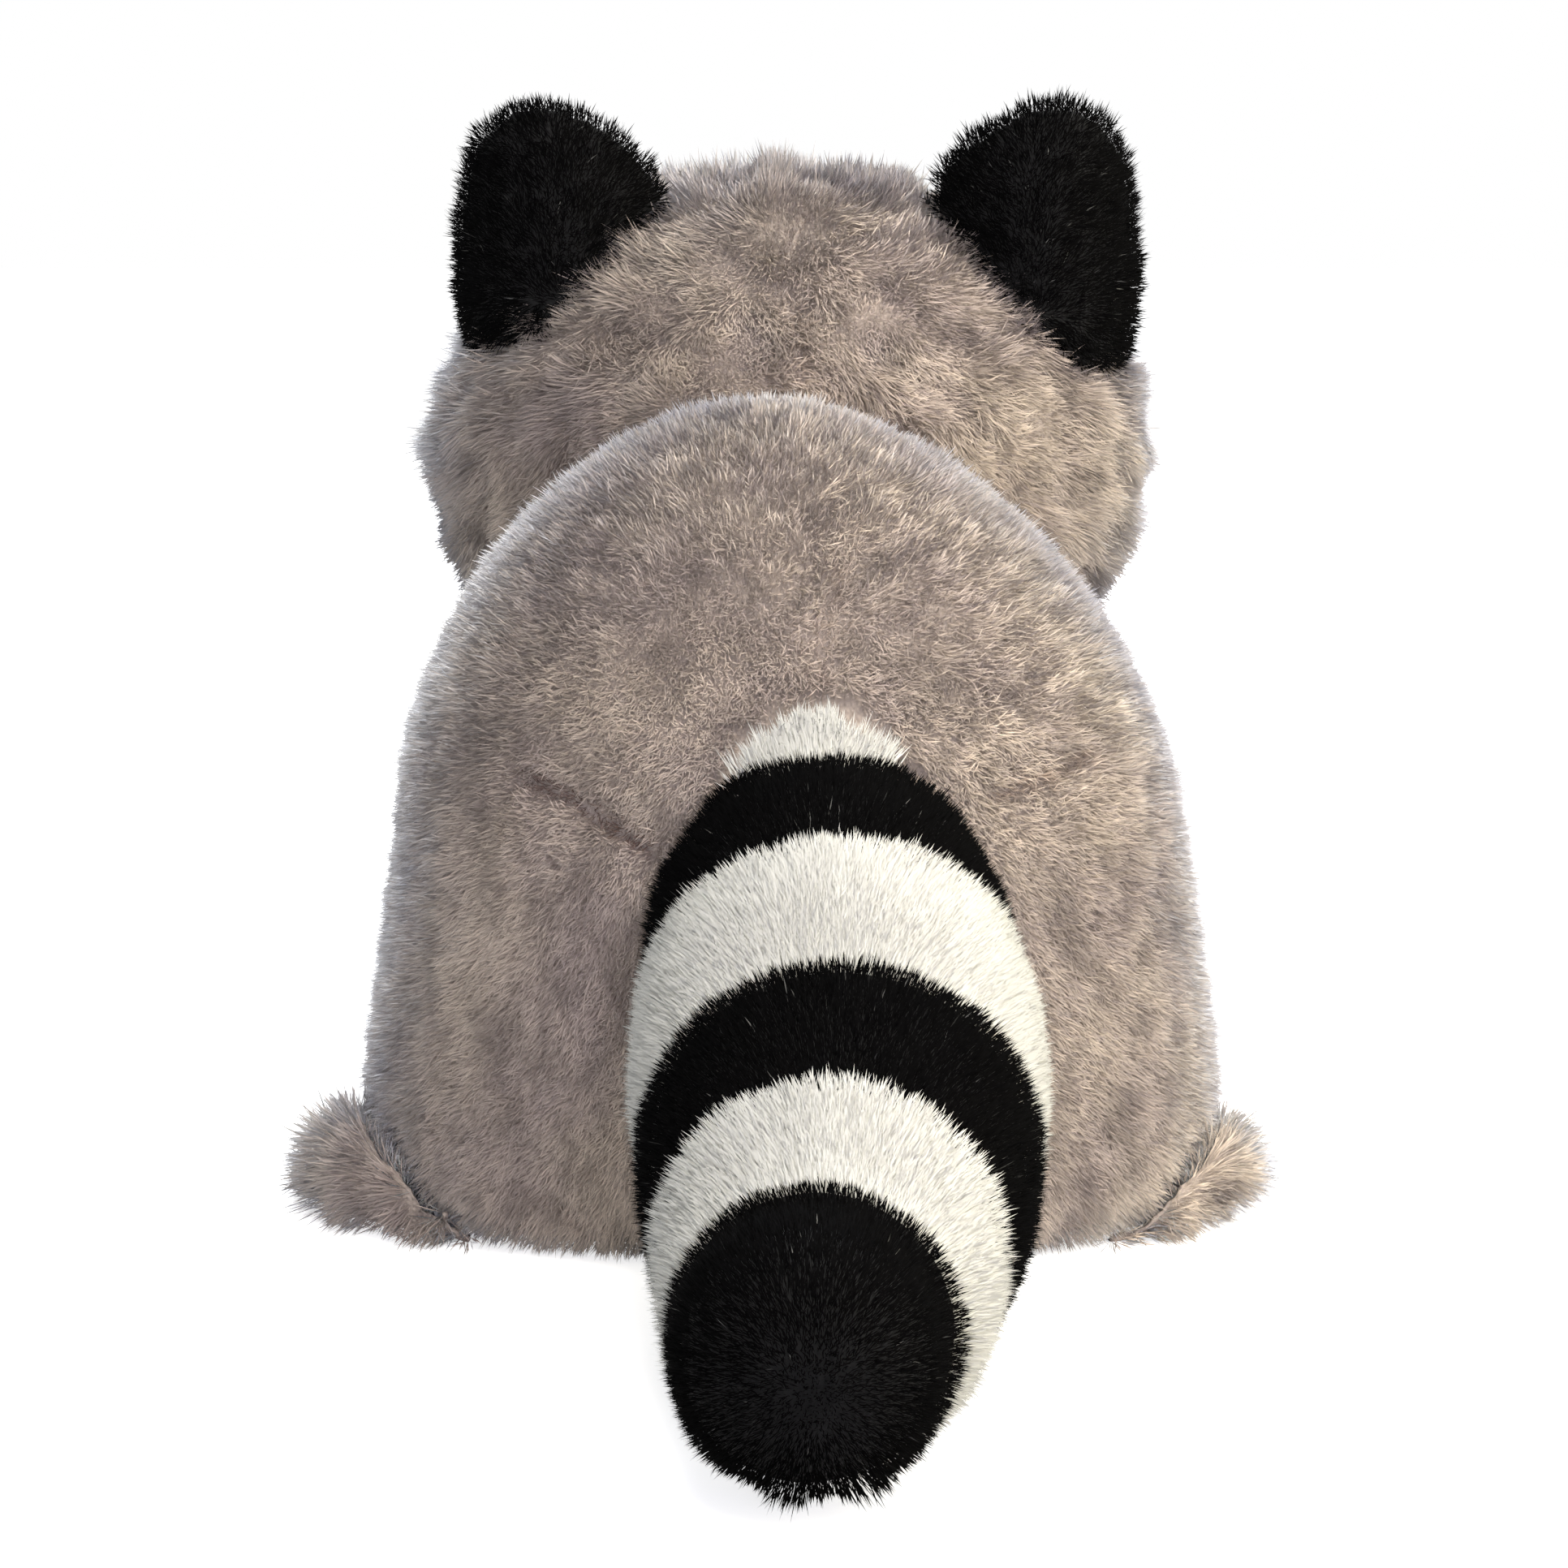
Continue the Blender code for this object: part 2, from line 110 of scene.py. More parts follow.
# Tail
TAIL_ROUNDS = 8
SEAM_REACH = 0.0008
ROOT_CLEARANCE = 0.0009
ROOT_PILE = 1.10
ROOT_FLARE = 0.8
ROOT_HALF = 0.015
TIP_PILE = 0.8
TUFT_PLACES = (0.0004, -0.0095)
TUFT_REACH = 0.0026
TUFT_HEIGHT = 0.009
TUFT_GROWTH = 0.6

# Face: nostrils in half sizes of the nose, and the mouth in metres from the middle of the muzzle
NOSE_CLEARING = (0.0118, 0.0095, 0.0085)
EYE_CLEARING = 0.0072
EYE_RING = 0.0066
EYE_SINK = 0.0018
EYE_DEPTH = 0.8
NOSE_DEPTH = 0.0070
NOSE_WIDENING = 1.1
NOSE_FLARE = 0.28
NOSTRIL_PLACE = (0.42, -0.85, -0.05)
NOSTRIL_SIZE = 0.22
MOUTH_WIDTH = 0.0013
MOUTH_PULL = 0.5
MOUTH_HALF = ((-0.0125, -0.0065), (-0.0095, -0.0092), (-0.0055, -0.0105), (-0.002, -0.0095))
MOUTH_MIDDLE = (0.0, -0.0070)
STEM_HEIGHTS = (0.002, -0.002, -0.0045, -0.0070)
THREAD_RADIUS = 0.0007
THREAD_RAISE = 0.0004
IN_FRONT = 0.1

# Seams and darts, as the photograph's pixels, and how hard each draws the plush in
BACK_SEAM = ((1035, 690), (1012, 760), (1004, 850))
LEFT_DART = ((640, 955), (690, 975), (745, 1012), (800, 1045))
RIGHT_DART = ((1345, 925), (1300, 950), (1230, 975))
LOW_PANEL = ((640, 1455), (675, 1490), (715, 1515))
NAPE_SEAM = ((990, 255), (960, 330), (982, 400), (985, 470))
BODY_SEAMS = ((BACK_SEAM, 0.3), (LEFT_DART, 0.8), (RIGHT_DART, 0.5), (LOW_PANEL, 0.2))
HEAD_SEAMS = ((NAPE_SEAM, 0.35),)

# Colours of the pile at its roots, its middle and its tips, as linear light
GREY_PLUSH = (0.52, 0.435, 0.375), (0.70, 0.605, 0.525), (0.85, 0.755, 0.665)
# The white pile is lighter at its roots than at its tips: painted light that lifts the shade falling between
# the strands
WHITE_PLUSH = (0.77, 0.765, 0.715), (0.70, 0.695, 0.65), (0.67, 0.665, 0.62)
BLACK_PLUSH = (0.0012, 0.0012, 0.0013), (0.0018, 0.0018, 0.0019), (0.0032, 0.0032, 0.0034)
LINING_PLUSH = (0.30, 0.25, 0.22), (0.55, 0.49, 0.44), (0.74, 0.69, 0.63)
# Painted shade for the strands that stand in the grooves of the seams and darts
GROOVE_SHADE_COLOUR = (0.22, 0.13, 0.11)
STRAY_COLOUR = (0.16, 0.16, 0.15)
STRAY_START, STRAY_FULL = 0.9980, 0.9985
ALONG_STOPS = (0.30, 0.68, 0.97)
COOL_LOSS = (0.58, 0.66, 0.62)
WARM_LOSS = (0.0, 0.08, 0.2)
STREAK_LOSS = 0.72

# Lamps: name, place, size, power and colour
LAMP_AIM = Vector((0, 0, 0.09))
LAMPS = (
    ("key", (-1.25, 0.40, 0.42), 0.8, 12.0, (1.0, 0.93, 0.70)),
    ("fill", (1.0, 0.8, 0.6), 1.0, 2.0, (0.85, 0.92, 1.0)),
    ("top", (-0.25, 0.55, 1.15), 0.9, 16.0, (1.0, 0.95, 0.85)),
    ("front", (0.05, -0.9, 1.15), 1.0, 24.0, (0.90, 0.93, 1.0)),
    ("back", (-0.30, 1.35, 0.50), 0.9, 8.0, (0.86, 0.82, 1.0)),
)

# The numbers of a Mix node's sockets for colours
MIX_FACTOR, MIX_FIRST, MIX_SECOND, MIX_RESULT = 0, 6, 7, 2

SIDES = ("left", "right")
TAIL_ROOT = "tail_ring_1_white"
TAIL_TIP = "tail_tip_black"


@dataclass(frozen=True)
class Plush:
    """A kind of plush: strands per square millimetre, sizes in metres, and how the skin under it is made."""

    density: float
    length: float
    lean: float
    clump: float
    clump_size: float = 0.006
    uneven: float = 0.16
    spread: float = 0.16
    tufts: float = 0.08
    width: float = 0.00027
    glint: float = 0.10
    voxel: float = 0.0030
    inset: float = 0.0012
    stuffed: bool = True


BODY_PILE = Plush(
    density=6.0, length=0.0042, lean=0.34, clump=0.24, clump_size=0.0040,
    spread=0.20, width=0.00023, voxel=0.0040,
)
HEAD_PILE = Plush(
    density=4.6, length=0.0052, lean=0.40, clump=0.36, clump_size=0.0070,
    uneven=0.2, spread=0.18, tufts=0.26, voxel=0.0040,
)
TAIL_PILE = Plush(
    density=8.1, length=0.0037, lean=0.24, clump=0.08,
    spread=0.12, width=0.00021, glint=0.03, voxel=0.0026, inset=0.0014,
)
EAR_PILE = Plush(
    density=5.0, length=0.0038, lean=0.36, clump=0.25, clump_size=0.0035,
    spread=0.17, tufts=0.12, width=0.00024, voxel=0.0022, inset=0.0008, stuffed=False,
)
FOOT_PILE = Plush(
    density=4.8, length=0.0055, lean=0.38, clump=0.40, clump_size=0.0060,
    uneven=0.24, spread=0.2, tufts=0.25, inset=0.0008,
)
LEG_PILE = Plush(
    density=3.5, length=0.0048, lean=0.42, clump=0.30, clump_size=0.0055, spread=0.20, voxel=0.0035
)
PAW_PILE = Plush(density=3.5, length=0.0048, lean=0.42, clump=0.30, clump_size=0.0055, spread=0.20)
MUZZLE_PILE = Plush(
    density=4.6, length=0.0032, lean=0.52, clump=0.16, clump_size=0.0035, voxel=0.0026, inset=0.0008
)
PATCH_PILE = Plush(
    density=4.8, length=0.0028, lean=0.52, clump=0.16, clump_size=0.0035,
    voxel=0.0013, inset=0.0007, stuffed=False,
)
LINING_PILE = Plush(
    density=4.6, length=0.0028, lean=0.40, clump=0.15, clump_size=0.0030,
    voxel=0.0013, inset=0.0006, stuffed=False,
)


class Material:
    """A node material that is built up one node at a time."""

    def __init__(self, name):
        self.material = bpy.data.materials.new(name)
        self.material.use_nodes = True
        self.tree = self.material.node_tree
        self.shader = self.tree.nodes["Principled BSDF"]

    def add(self, kind, inputs=None, **settings):
        made = self.tree.nodes.new(f"ShaderNode{kind}")
        for key, value in settings.items():
            setattr(made, key, value)
        for key, value in (inputs or {}).items():
            self.feed(made.inputs[key], value)
        return made

    def feed(self, socket, value):
        if isinstance(value, bpy.types.NodeSocket):
            self.tree.links.new(value, socket)
        elif isinstance(value, tuple) and socket.type == "RGBA":
            socket.default_value = (*value, 1.0)
        else:
            socket.default_value = value

    def finish(self, **inputs):
        for key, value in inputs.items():
            self.feed(self.shader.inputs[key.replace("_", " ")], value)
        return self.material

    def ramp(self, factor, stops):
        made = self.add("ValToRGB", {"Fac": factor})
        steps = made.color_ramp.elements
        while len(steps) < len(stops):
            steps.new(1.0)
        for step, (position, colour) in zip(steps, stops):
            step.position = position
            step.color = (*colour, 1.0)
        return made.outputs["Color"]

    def mix(self, factor, first, second, blend="MIX"):
        inputs = {MIX_FACTOR: factor, MIX_FIRST: first, MIX_SECOND: second}
        made = self.add("Mix", data_type="RGBA", blend_type=blend)
        for number, value in inputs.items():
            self.feed(made.inputs[number], value)
        return made.outputs[MIX_RESULT]

    def multiply(self, first, second):
        return self.mix(1.0, first, second, "MULTIPLY")

    def noise(self, scale, detail=2.0, stretch=(1, 1, 1), roughness=0.5):
        place = self.add("TexCoord").outputs["Object"]
        place = self.add("Mapping", {"Vector": place, "Scale": stretch}).outputs["Vector"]
        inputs = {"Vector": place, "Scale": scale, "Detail": detail, "Roughness": roughness}
        return self.add("TexNoise", inputs).outputs["Fac"]

    def between(self, value, near, far):
        """A factor that runs from one (place, value) to another."""
        inputs = {"From Min": near[0], "From Max": far[0], "To Min": near[1], "To Max": far[1]}
        return self.add("MapRange", {"Value": value, **inputs}).outputs["Result"]

    def sideways(self):
        place = self.add("TexCoord").outputs["Object"]
        return self.add("SeparateXYZ", {"Vector": place}).outputs["X"]

    def attribute(self, name, output="Fac"):
        return self.add("Attribute", attribute_name=name).outputs[output]


def even(level):
    """A colour whose three parts are the same."""
    return (level,) * 3


def times(colour, factor):
    return tuple(factor * part for part in colour)


def fur_material(name, colours, patches, strands, sheen=0.3, shine=0.1, groove=None, strays=None):
    """Pile whose colour runs from its roots to its tips, mottled in patches and varied from strand to
    strand; given a groove colour, it also has painted light down the middle of the toy, painted shade
    towards +X and painted shade in the seam grooves.
    """
    fur = Material(name)
    colour = fur.ramp(fur.attribute("along"), tuple(zip(ALONG_STOPS, colours)))
    cool = tuple(1 - loss * patches for loss in COOL_LOSS)
    warm = tuple(1 - loss * patches for loss in WARM_LOSS)
    wide = fur.ramp(fur.noise(34.0, 3.0, (1.0, 1.0, 0.75)), ((0.38, cool), (0.62, warm)))
    colour = fur.multiply(colour, wide)
    dark = even(1 - STREAK_LOSS * patches)
    streaks = fur.ramp(fur.noise(150.0, 4.0, (1.0, 1.0, 0.5), 0.6), ((0.38, dark), (0.55, even(1.0))))
    colour = fur.multiply(colour, streaks)
    levels = ((0.0, 1 - 1.1 * strands), (0.35, 1 - 0.25 * strands), (1.0, 1 + 0.5 * strands))
    tints = fur.ramp(fur.attribute("tint"), [(place, even(level)) for place, level in levels])
    colour = fur.multiply(colour, tints)
    # Only the pile given a groove colour, the grey one, gets the painted light and painted shade below
    if groove is not None:
        # Painted light: a fifth lighter within about 12 mm of the middle of the toy, a little darker beyond
        # about 62 mm
        outwards = fur.add("Math", {0: fur.sideways()}, operation="ABSOLUTE").outputs["Value"]
        colour = fur.multiply(colour, fur.between(outwards, (0.012, 1.20), (0.062, 0.94)))
        # Painted shade: darker towards +X, the side away from the key lamp
        colour = fur.multiply(colour, fur.between(fur.sideways(), (-0.070, 0.98), (0.070, 0.84)))
        # Painted shade: strands that stand in a seam's groove take on the dark groove colour
        colour = fur.mix(fur.attribute("groove"), colour, fur.multiply(colour, groove))
    if strays is not None:
        few = fur.ramp(fur.attribute("tint"), ((STRAY_START, even(0.0)), (STRAY_FULL, even(1.0))))
        colour = fur.mix(few, colour, strays)
    return fur.finish(
        Base_Color=colour,
        Roughness=0.75,
        Specular_IOR_Level=shine,
        Sheen_Weight=sheen,
        Sheen_Roughness=0.4,
        Sheen_Tint=(0.93, 0.96, 1.0),
        Normal=fur.attribute("pile_normal", "Vector"),
    )


def backing_material(name, colour):
    """The knitted cloth that the pile is rooted in."""
    cloth = Material(name)
    waves = {"Vector": cloth.add("TexCoord").outputs["Object"], "Distortion": 1.5}
    rows = cloth.add("TexWave", {**waves, "Scale": 260.0}, bands_direction="Z")
    stitches = cloth.add("TexWave", {**waves, "Scale": 300.0}, bands_direction="X")
    knit = cloth.multiply(rows.outputs["Color"], stitches.outputs["Color"])
    worn = cloth.ramp(cloth.noise(70.0, 3.0), ((0.3, even(0.7)), (0.7, even(1.1))))
    shade = cloth.mix(knit, cloth.multiply(colour, even(0.85)), colour)
    bump = cloth.add("Bump", {"Height": knit, "Distance": 0.0003, "Strength": 0.6})
    tone = cloth.multiply(shade, worn)
    return cloth.finish(Base_Color=tone, Roughness=0.95, Normal=bump.outputs["Normal"])


def plastic_material(name, colour, low, high, grain, depth, shine):
    """Moulded plastic with fine grain and a handled gloss that varies a little."""
    plastic = Material(name)
    gloss = plastic.between(plastic.noise(120.0, 3.0), (0.0, low), (1.0, high))
    tone = plastic.ramp(plastic.noise(300.0, 2.0), ((0.3, times(colour, 0.7)), (0.7, colour)))
    bump = plastic.add("Bump", {"Height": plastic.noise(grain, 2.0), "Distance": depth, "Strength": 0.5})
    return plastic.finish(
        Base_Color=tone, Roughness=gloss, Specular_IOR_Level=shine, Normal=bump.outputs["Normal"]
    )


def thread_material(name, colour):
    """Twisted embroidery thread."""
    thread = Material(name)
    waves = {"Vector": thread.add("TexCoord").outputs["Object"], "Scale": 420.0, "Distortion": 1.0}
    twist = thread.add("TexWave", waves, bands_direction="DIAGONAL")
    shade = thread.ramp(twist.outputs["Color"], ((0.0, times(colour, 0.35)), (0.7, colour)))
    bump = thread.add("Bump", {"Height": twist.outputs["Fac"], "Distance": 0.0003, "Strength": 0.8})
    return thread.finish(Base_Color=shade, Roughness=0.6, Sheen_Weight=0.3, Normal=bump.outputs["Normal"])


def link(thing):
    bpy.context.scene.collection.objects.link(thing)
    return thing


def coordinates(mesh):
    found = np.zeros(len(mesh.vertices) * 3, np.float32)
    mesh.vertices.foreach_get("co", found)
    return found.reshape(-1, 3).astype(float)


def set_coordinates(mesh, places):
    mesh.vertices.foreach_set("co", np.asarray(places, np.float32).ravel())
    mesh.update()


def vertex_normals(mesh):
    found = np.zeros(len(mesh.vertices) * 3, np.float32)
    mesh.vertex_normals.foreach_get("vector", found)
    return found.reshape(-1, 3).astype(float)


def triangles(mesh):
    mesh.calc_loop_triangles()
    found = np.zeros(len(mesh.loop_triangles) * 3, np.int32)
    mesh.loop_triangles.foreach_get("vertices", found)
    return found.reshape(-1, 3)


def normalised(vectors):
    return vectors / np.maximum(np.linalg.norm(vectors, axis=-1, keepdims=True), TINY)


def along_surface(vectors, normals):
    """What is left of the vectors once the part along the normals is taken out."""
    return vectors - (vectors * normals).sum(-1, keepdims=True) * normals


def fade(least, places):
    """A share that rises from least, where a place is 0, to all, where it is 1."""
    return least + (1 - least) * np.clip(places, 0, 1)


def centre_of(node):
    low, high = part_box(node)
    return (low + high) / 2


def surface_tree(thing):
    return BVHTree.FromObject(thing, bpy.context.evaluated_depsgraph_get())


# What is read from the frame
TREES = {name: surface_tree(thing) for name, thing in NODES.items()}
BODY_LOW, BODY_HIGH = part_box("body")
WAIST_HALF = (BODY_HIGH.x - BODY_LOW.x) / 2
HEAD_LOW, HEAD_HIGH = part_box("head")
HEAD_CENTRE = centre_of("head")
HEAD_HALF = (HEAD_HIGH - HEAD_LOW) / 2
NOSE_CENTRE = np.array(centre_of("nose"))
TAIL_RUN = np.array((centre_of(TAIL_TIP) - centre_of(TAIL_ROOT)).normalized())


def bake_modifiers(thing):
    """Replaces the object's mesh with what its modifiers make of it."""
    graph = bpy.context.evaluated_depsgraph_get()
    made = bpy.data.meshes.new_from_object(thing.evaluated_get(graph))
    thing.modifiers.clear()
    thing.data = made
    return thing


def soften(thing, rounds):
    smooth = thing.modifiers.new("Soften", "SMOOTH")
    smooth.factor = 0.5
    smooth.iterations = rounds


def make_skin(nodes, voxel, inset, rounds):
    """The surface of CAD nodes as one, evenly meshed, smoothed and drawn in by inset."""
    mesh = bpy.data.meshes.new(nodes[0])
    bm = bmesh.new()
    for node in nodes:
        bm.from_mesh(NODES[node].data)
    bmesh.ops.remove_doubles(bm, verts=bm.verts, dist=MERGE_REACH)
    bm.to_mesh(mesh)
    bm.free()
    shape = link(bpy.data.objects.new("shape", mesh))
    thing = link(bpy.data.objects.new(f"{nodes[0]}_skin", mesh.copy()))
    remesh = thing.modifiers.new("Even", "REMESH")
    remesh.mode = "VOXEL"
    remesh.voxel_size = voxel
    soften(thing, rounds)
    wrap = thing.modifiers.new("Wrap", "SHRINKWRAP")
    wrap.target = shape
    soften(thing, LAST_ROUNDS)
    draw_in = thing.modifiers.new("Draw in", "DISPLACE")
    draw_in.mid_level = 0.0
    draw_in.strength = -inset
    bake_modifiers(thing)
    bpy.data.objects.remove(shape)
    return thing


def stuff(thing, held):
    """Fills a sewn skin: it swells between the held points, by no more than SWELL."""
    start = coordinates(thing.data)
    group = thing.vertex_groups.new(name="seams")
    for index in np.flatnonzero(held):
        group.add([int(index)], 1.0, "REPLACE")
    cloth = thing.modifiers.new("Stuffing", "CLOTH")
    cloth.settings.use_pressure = True
    cloth.settings.uniform_pressure_force = CLOTH_PRESSURE
    cloth.settings.effector_weights.gravity = 0.0
    cloth.settings.vertex_group_mass = group.name
    cloth.point_cache.frame_end = CLOTH_FRAMES
    scene = bpy.context.scene
    for moment in range(1, CLOTH_FRAMES + 1):
        scene.frame_set(moment)
    filled = coordinates(thing.evaluated_get(bpy.context.evaluated_depsgraph_get()).data)
    shift = filled - start
    size = np.linalg.norm(shift, axis=1, keepdims=True)
    thing.modifiers.remove(cloth)
    thing.vertex_groups.clear()
    set_coordinates(thing.data, start + shift * np.minimum(1.0, SWELL / np.maximum(size, TINY)))
    scene.frame_set(1)


def stuffed_skin(nodes, pile, hold, rounds=SMOOTH_ROUNDS):
    """A skin that starts SWELL further in and is filled out again; hold says which of its points stay."""
    if not pile.stuffed:
        return make_skin(nodes, pile.voxel, pile.inset, rounds)
    skin = make_skin(nodes, pile.voxel, pile.inset + SWELL, rounds)
    stuff(skin, hold(coordinates(skin.data), vertex_normals(skin.data)))
    return skin


def sight_line(pixel):
    """The direction of view through a pixel of the photograph."""
    scale = SENSOR_WIDTH / CAMERA_LENS / PHOTO_SIZE
    across, up = (pixel[0] - PHOTO_SIZE / 2) * scale, (PHOTO_SIZE / 2 - pixel[1]) * scale
    return (CAMERA_TURN.to_matrix() @ Vector((across, up, -1.0))).normalized()


def seams_on(node, seams):
    """The seams on a node where the photograph shows them, each with its strength."""
    found = []
    for pixels, strength in seams:
        line = [TREES[node].ray_cast(CAMERA_PLACE, sight_line(pixel))[0] for pixel in pixels]
        found.append((np.array(line), strength))
    return found


def seam_pull(points, normals, seams, width):
    """How hard the nearest seam draws each point in, and how the point lies from it along the surface."""
    least, strengths, offsets = np.full(len(points), np.inf), np.zeros(len(points)), np.zeros_like(points)
    for line, strength in seams:
        for start, end in zip(line, line[1:]):
            reach = end - start
            share = np.clip(((points - start) @ reach) / (reach @ reach), 0, 1)
            gaps = points - start - share[:, None] * reach
            sizes = np.linalg.norm(gaps, axis=1)
            nearer = sizes < least
            least[nearer], offsets[nearer], strengths[nearer] = sizes[nearer], gaps[nearer], strength
    aside = along_surface(offsets, normals)
    return strengths * np.exp(-((np.linalg.norm(aside, axis=1) / width) ** 2)), aside


def draw_in_seams(thing, seams):
    """Pulls the skin in along its seams, if it has any, and keeps it above the floor."""
    places = coordinates(thing.data)
    if seams:
        normals = vertex_normals(thing.data)
        places -= normals * (SEAM_DEPTH * seam_pull(places, normals, seams, SEAM_WIDTH)[0])[:, None]
    places[:, 2] = np.maximum(places[:, 2], FLOOR_GAP)
    set_coordinates(thing.data, places)


def waviness(points, size, rng):
    """A smooth random vector at each point, which changes over about size."""
    total = np.zeros_like(points)
    for _ in range(WAVES):
        heading = normalised(rng.normal(size=3))
        wave_length = size * rng.uniform(1.4, 3.2)
        wave = np.sin(points @ heading * (2 * math.pi / wave_length) + rng.uniform(0, 2 * math.pi))
        total += wave[:, None] * rng.normal(size=3)
    return total * math.sqrt(2 / WAVES)


def is_inside(tree, point):
    """Whether a closed surface holds the point: a ray from it then crosses it an odd number of times."""
    crossings = 0
    place = tree.ray_cast(point, PROBE)[0]
    while place is not None and crossings < MOST_CROSSINGS:
        crossings += 1
        place = tree.ray_cast(place + PROBE * PROBE_STEP, PROBE)[0]
    return crossings % 2 == 1


def bare_faces(centres, neighbours):
    """Which faces lie inside another part of the toy by HIDDEN_DEPTH or more, where no pile shows."""
    bare = np.zeros(len(centres), bool)
    for node in neighbours:
        tree = TREES[node]
        low, high = (np.array(corner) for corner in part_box(node))
        near = ((centres > low) & (centres < high)).all(1)
        for index in np.flatnonzero(near & ~bare):
            point = Vector(centres[index])
            bare[index] = is_inside(tree, point) and tree.find_nearest(point)[3] > HIDDEN_DEPTH
    return bare


def scatter(mesh, density, share, rng):
    """Random even places on a mesh with their normals; share says how dense each triangle's pile is."""
    places, normals, faces = coordinates(mesh), vertex_normals(mesh), triangles(mesh)
    corners = places[faces]
    edges = corners[:, 1:] - corners[:, :1]
    areas = np.linalg.norm(np.cross(edges[:, 0], edges[:, 1]), axis=1) / 2
    wanted = areas * share(corners.mean(1), normalised(normals[faces].mean(1)))
    count = int(wanted.sum() * density * PER_SQUARE_METRE)
    steps = (np.arange(count) + rng.random(count)) / count * wanted.sum()
    face = np.minimum(np.searchsorted(np.cumsum(wanted), steps), len(faces) - 1)
    root, split = np.sqrt(rng.random(count)), rng.random(count)
    shares = np.stack([1 - root, root * (1 - split), root * split], 1)[:, :, None]
    return (corners[face] * shares).sum(1), normalised((normals[faces][face] * shares).sum(1))


def strand_mesh(name, corners, tint, groove, facing):
    """A mesh of separate three-cornered strands, with a corner at the root, the shoulder and the tip."""
    count = len(corners)
    mesh = bpy.data.meshes.new(name)
    mesh.vertices.add(count * 3)
    mesh.vertices.foreach_set("co", corners.astype(np.float32).ravel())
    mesh.loops.add(count * 3)
    mesh.loops.foreach_set("vertex_index", np.arange(count * 3, dtype=np.int32))
    mesh.polygons.add(count)
    mesh.polygons.foreach_set("loop_start", np.arange(0, count * 3, 3, dtype=np.int32))
    mesh.polygons.foreach_set("loop_total", np.full(count, 3, np.int32))
    mesh.update(calc_edges=True)
    along = np.tile((0.0, SHOULDER, 1.0), count)
    # groove holds how deep each strand stands in a seam, which the material turns into painted shade
    for key, values in (("along", along), ("tint", np.repeat(tint, 3)), ("groove", np.repeat(groove, 3))):
        mesh.attributes.new(key, "FLOAT", "POINT").data.foreach_set("value", values.astype(np.float32))
    facing = np.repeat(facing, 3, axis=0).astype(np.float32)
    mesh.attributes.new("pile_normal", "FLOAT_VECTOR", "POINT").data.foreach_set("vector", facing.ravel())
    lay_out_strands(mesh, count)
    mesh.normals_split_custom_set_from_vertices(facing)
    return mesh


def lay_out_strands(mesh, count):
    """Gives each strand a cell of its own in a square map, which baking needs."""
    cells = int(math.ceil(math.sqrt(count)))
    number = np.arange(count)
    cell = np.stack([number % cells, number // cells], 1)[:, None, :]
    places = ((cell + np.array(BAKE_CORNERS)[None, :, :]) / cells).astype(np.float32)
    mesh.uv_layers.new(name="OFBake").uv.foreach_set("vector", places.ravel())


def comb_pile(pile, comb, roots, normals, seams, rng):
    """The way each strand lies along the skin, and how deep it stands in the groove of a seam."""
    lay = normalised(along_surface(comb(roots, normals), normals))
    lay += pile.clump * along_surface(waviness(roots, pile.clump_size, rng), normals)
    wide = along_surface(waviness(roots, pile.clump_size * WIDE_CLUMP, rng), normals)
    lay += WIDE_CLUMP_PULL * pile.clump * wide
    if not seams:
        return lay, np.zeros(len(roots))
    groove, aside = seam_pull(roots, normals, seams, GROOVE_WIDTH)
    parted = seam_pull(roots, normals, seams, PARTING_WIDTH)[0][:, None]
    return lay * (1 - parted) + PARTING * parted * normalised(aside), groove


def strand_lengths(pile, roots, groove, trim, rng):
    length = pile.length * np.clip(1 + pile.uneven * rng.normal(size=len(roots)), 0.5, 1.6)
    length *= np.clip(1 + pile.tufts * waviness(roots, pile.clump_size, rng)[:, 0], 0.5, 1.7)
    if trim is not None:
        length *= trim(roots)
    return length * (1 - GROOVE_TRIM * groove)


def strand_corners(roots, tips, heading, normals, width, rng):
    """The root, shoulder and tip of each strand, turned about its own length at random."""
    flat = normalised(np.cross(heading, normals))
    twist = rng.uniform(-TWIST, TWIST, (len(roots), 1))
    side = (flat * np.cos(twist) + np.cross(heading, flat) * np.sin(twist)) * width
    side *= np.where(rng.random((len(roots), 1)) < 0.5, -1, 1)
    return np.stack([roots, roots + (tips - roots) * SHOULDER + side, tips], 1)


def all_in_one(points):
    return np.zeros(len(points), int)


